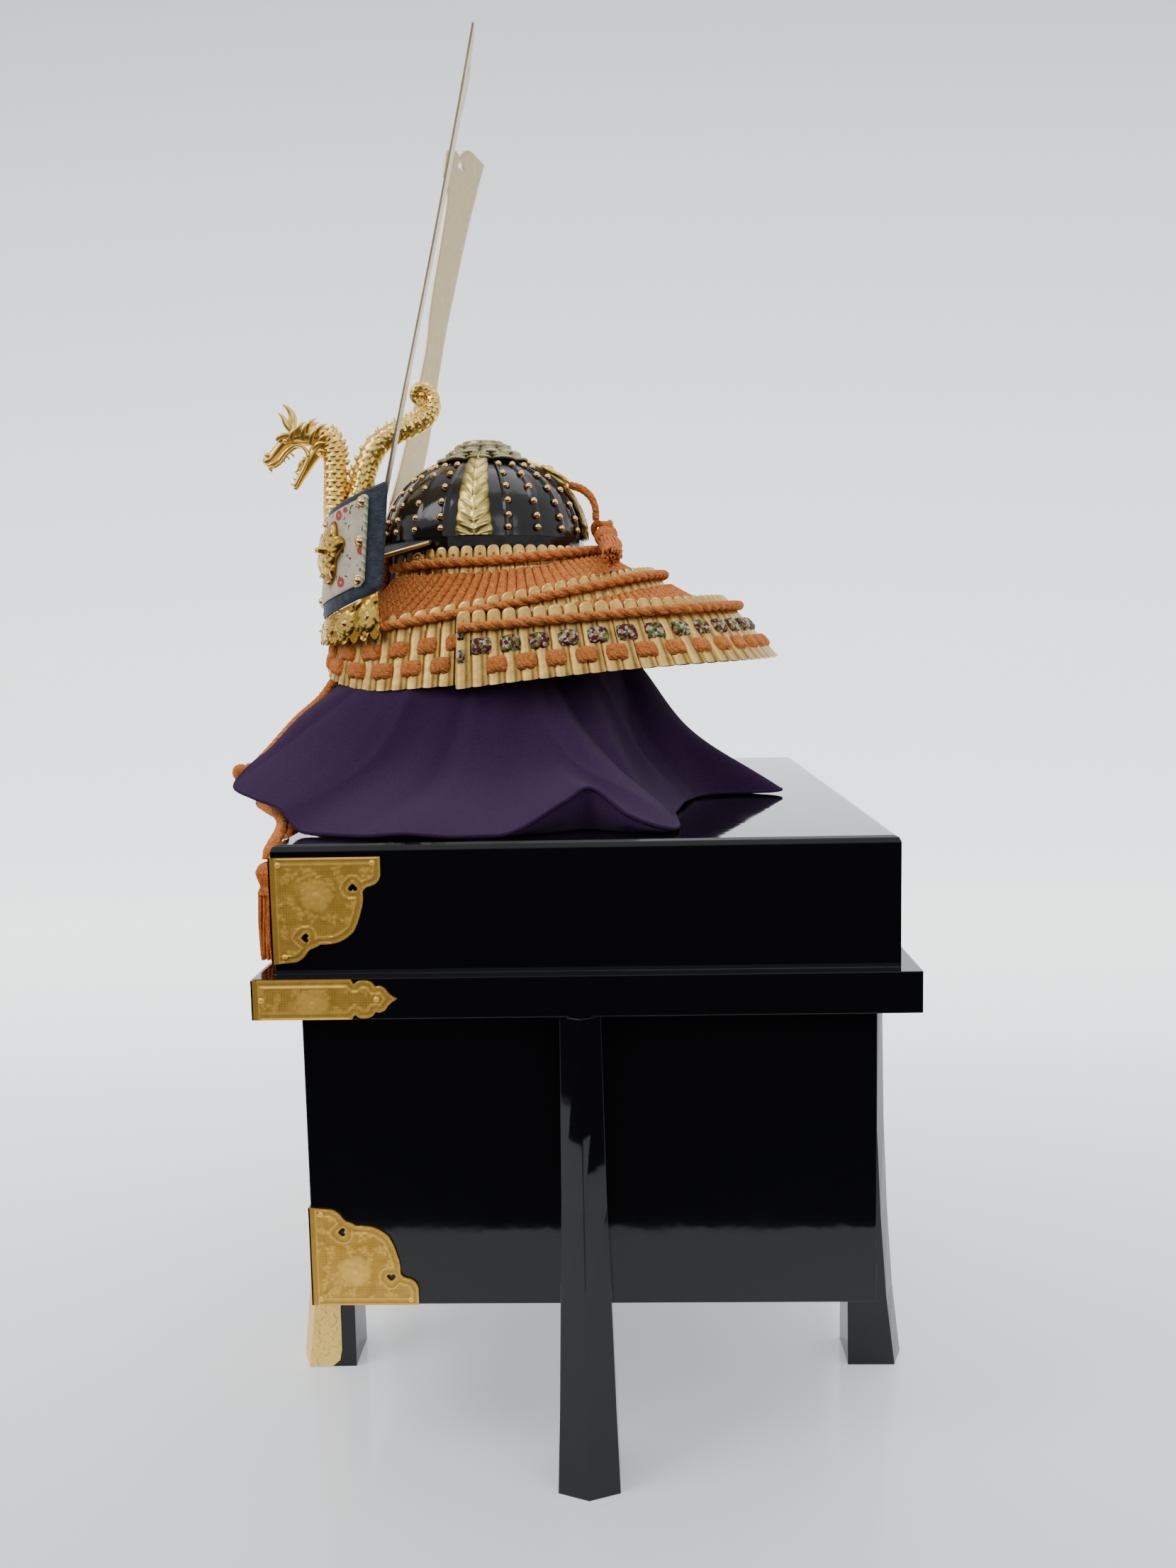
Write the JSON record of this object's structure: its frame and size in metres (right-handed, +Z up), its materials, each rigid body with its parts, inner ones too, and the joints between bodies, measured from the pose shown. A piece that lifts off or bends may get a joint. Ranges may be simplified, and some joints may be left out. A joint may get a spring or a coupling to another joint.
{
  "type": "samurai helmet on a draped stand and lacquered display chest",
  "caption": "Small display kabuto with flared laced neck guard, turned-back wings, tall horns and a dragon crest, on a purple-draped stand over a six-legged black lacquer chest, gilt corners.",
  "frame": {"origin": "on the floor, under the middle of the footprint of everything but the free cords", "axes": "+X towards the wearer's left, -Y towards the front of the helmet and chest, +Z up"},
  "size_m": [0.4742, 0.3736, 0.7383],
  "materials": {
    "lacquer": "high-gloss black lacquer over wood",
    "black_metal": "black lacquered iron plates",
    "gilt": "embossed gilt sheet, satin",
    "cast_gilt": "bright cast gilt relief",
    "gold_lame": "satin champagne gold",
    "pale_gold": "matte pale gold",
    "patina": "greenish patinated cast metal",
    "orange_cord": "braided rayon cord, fuzzy",
    "purple_cloth": "matte twill cloth",
    "navy_leather": "matte navy leather",
    "printed_leather": "cream printed leather",
    "plain_wood": "plain turned wood"
  },
  "bodies": {
    "root": {"chest_box": "lacquer", "chest_lid": "lacquer", "leg_front_left": "lacquer", "leg_front_right": "lacquer", "leg_back_left": "lacquer", "leg_back_right": "lacquer", "leg_side_left": "lacquer", "leg_side_right": "lacquer", "bowl": "black_metal", "base_band": "black_metal", "foot_sheath_front_left": "gilt", "foot_sheath_front_right": "gilt", "lid_corner_left": "gilt", "lid_corner_right": "gilt", "rim_strip_left": "gilt", "rim_strip_right": "gilt", "box_corner_left": "gilt", "box_corner_right": "gilt", "visor_rim": "gilt", "horn_holder": "gilt", "rear_stud": "gilt", "rear_ring": "gilt", "bowl_panel_left": "cast_gilt", "bowl_panel_back": "cast_gilt", "bowl_panel_right": "cast_gilt", "bowl_panel_front": "cast_gilt", "wing_crest_left": "cast_gilt", "wing_crest_right": "cast_gilt", "wing_relief_left": "cast_gilt", "wing_relief_right": "cast_gilt", "dragon_crest": "cast_gilt", "lame_upper": "gold_lame", "lame_middle": "gold_lame", "lame_lower": "gold_lame", "horn_left": "pale_gold", "horn_right": "pale_gold", "crown_ornament": "patina", "rope_upper": "orange_cord", "rope_middle": "orange_cord", "rope_lower": "orange_cord", "lacing_upper": "orange_cord", "lacing_lower": "orange_cord", "chin_cord_left": "orange_cord", "chin_cord_right": "orange_cord", "chin_knot": "orange_cord", "chin_end_a": "orange_cord", "chin_end_b": "orange_cord", "chin_tassel_a": "orange_cord", "chin_tassel_b": "orange_cord", "rear_cord_left": "orange_cord", "rear_cord_right": "orange_cord", "rear_knot": "orange_cord", "rear_tassel": "orange_cord", "cloth_cover": "purple_cloth", "visor": "navy_leather", "wing_panel_left": "navy_leather", "wing_panel_right": "navy_leather", "wing_inset_left": "printed_leather", "wing_inset_right": "printed_leather", "helmet_stand": "plain_wood"}
  },
  "joints": []
}
